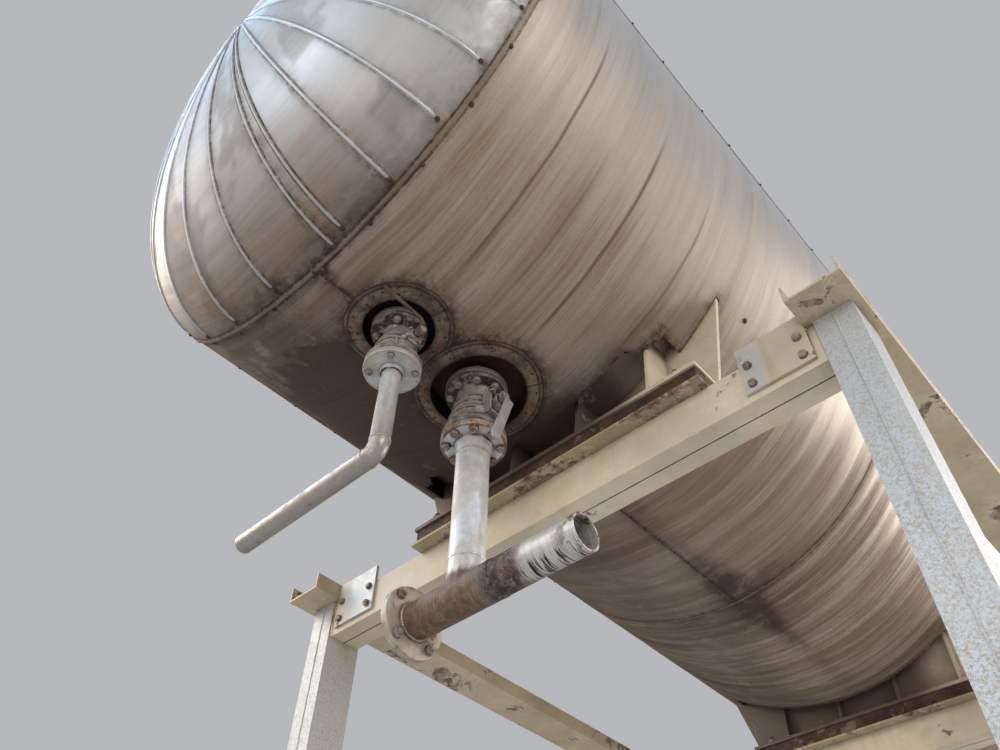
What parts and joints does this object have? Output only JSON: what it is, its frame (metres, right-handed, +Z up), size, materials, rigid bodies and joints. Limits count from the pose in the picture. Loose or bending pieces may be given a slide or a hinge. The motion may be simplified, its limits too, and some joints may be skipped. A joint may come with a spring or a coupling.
{
  "type": "water buffer tank",
  "caption": "Horizontal lagged water buffer tank with dished ends on saddles and a steel stand, with flanged lever valves under it.",
  "frame": {"origin": "on the ground, at the middle of the bounding box", "axes": "+X across the tank, to the side the valve levers are on; +Y along the tank, away from the valved end; +Z up"},
  "size_m": [2.682, 6.0212, 5.91],
  "materials": {
    "cladding": "weathered sheet, streaked with brown",
    "band": "weathered rolled strip",
    "flashing": "weathered sheet with rust",
    "vessel_steel": "plain mill steel",
    "ball_steel": "polished",
    "lever_steel": "zinc plated",
    "valve_paint": "silver paint, worn",
    "pipe_paint": "silver paint, worn",
    "header_paint": "peeling silver paint over rust",
    "saddle_paint": "worn paint with rust",
    "frame_paint": "cream paint, peeling and rusty"
  },
  "bodies": {
    "tank": {"beam_end_plates": "frame_paint", "collar_drain": "flashing", "collar_outlet": "flashing", "column_bases": "frame_paint", "column_far_left": "frame_paint", "column_far_right": "frame_paint", "column_near_left": "frame_paint", "column_near_right": "frame_paint", "cross_beam_far": "frame_paint", "cross_beam_near": "frame_paint", "drain_pipe": "pipe_paint", "head_cap_far": "cladding", "head_cap_near": "cladding", "head_jacket_far": "cladding", "head_jacket_near": "cladding", "jacket_far": "cladding", "jacket_near": "cladding", "nozzle_drain": "valve_paint", "nozzle_outlet": "valve_paint", "outlet_header": "header_paint", "outlet_pipe": "pipe_paint", "saddle_base_far": "saddle_paint", "saddle_base_near": "saddle_paint", "saddle_packers_far": "saddle_paint", "saddle_packers_near": "saddle_paint", "saddle_plates_far": "saddle_paint", "saddle_plates_near": "saddle_paint", "saddle_seat_far": "saddle_paint", "saddle_seat_near": "saddle_paint", "seam_band_far": "band", "seam_band_middle": "band", "seam_band_near": "band", "side_tie_left": "frame_paint", "side_tie_right": "frame_paint", "valve_drain_body": "valve_paint", "valve_outlet_body": "valve_paint", "vessel_head_far": "vessel_steel", "vessel_head_near": "vessel_steel", "vessel_shell": "vessel_steel"},
    "drain_lever": {"valve_drain_lever": "lever_steel", "valve_drain_ball": "ball_steel"},
    "outlet_lever": {"valve_outlet_lever": "lever_steel", "valve_outlet_ball": "ball_steel"}
  },
  "joints": [
    {"name": "drain_valve", "type": "hinge", "parent": "tank", "child": "drain_lever", "pos_m": [0.16, -2.082, 3.655], "axis": [1, 0, 0], "range_deg": [0, 90]},
    {"name": "outlet_valve", "type": "hinge", "parent": "tank", "child": "outlet_lever", "pos_m": [0.18, -1.706, 3.633], "axis": [1, 0, 0], "range_deg": [-73, 17]}
  ]
}
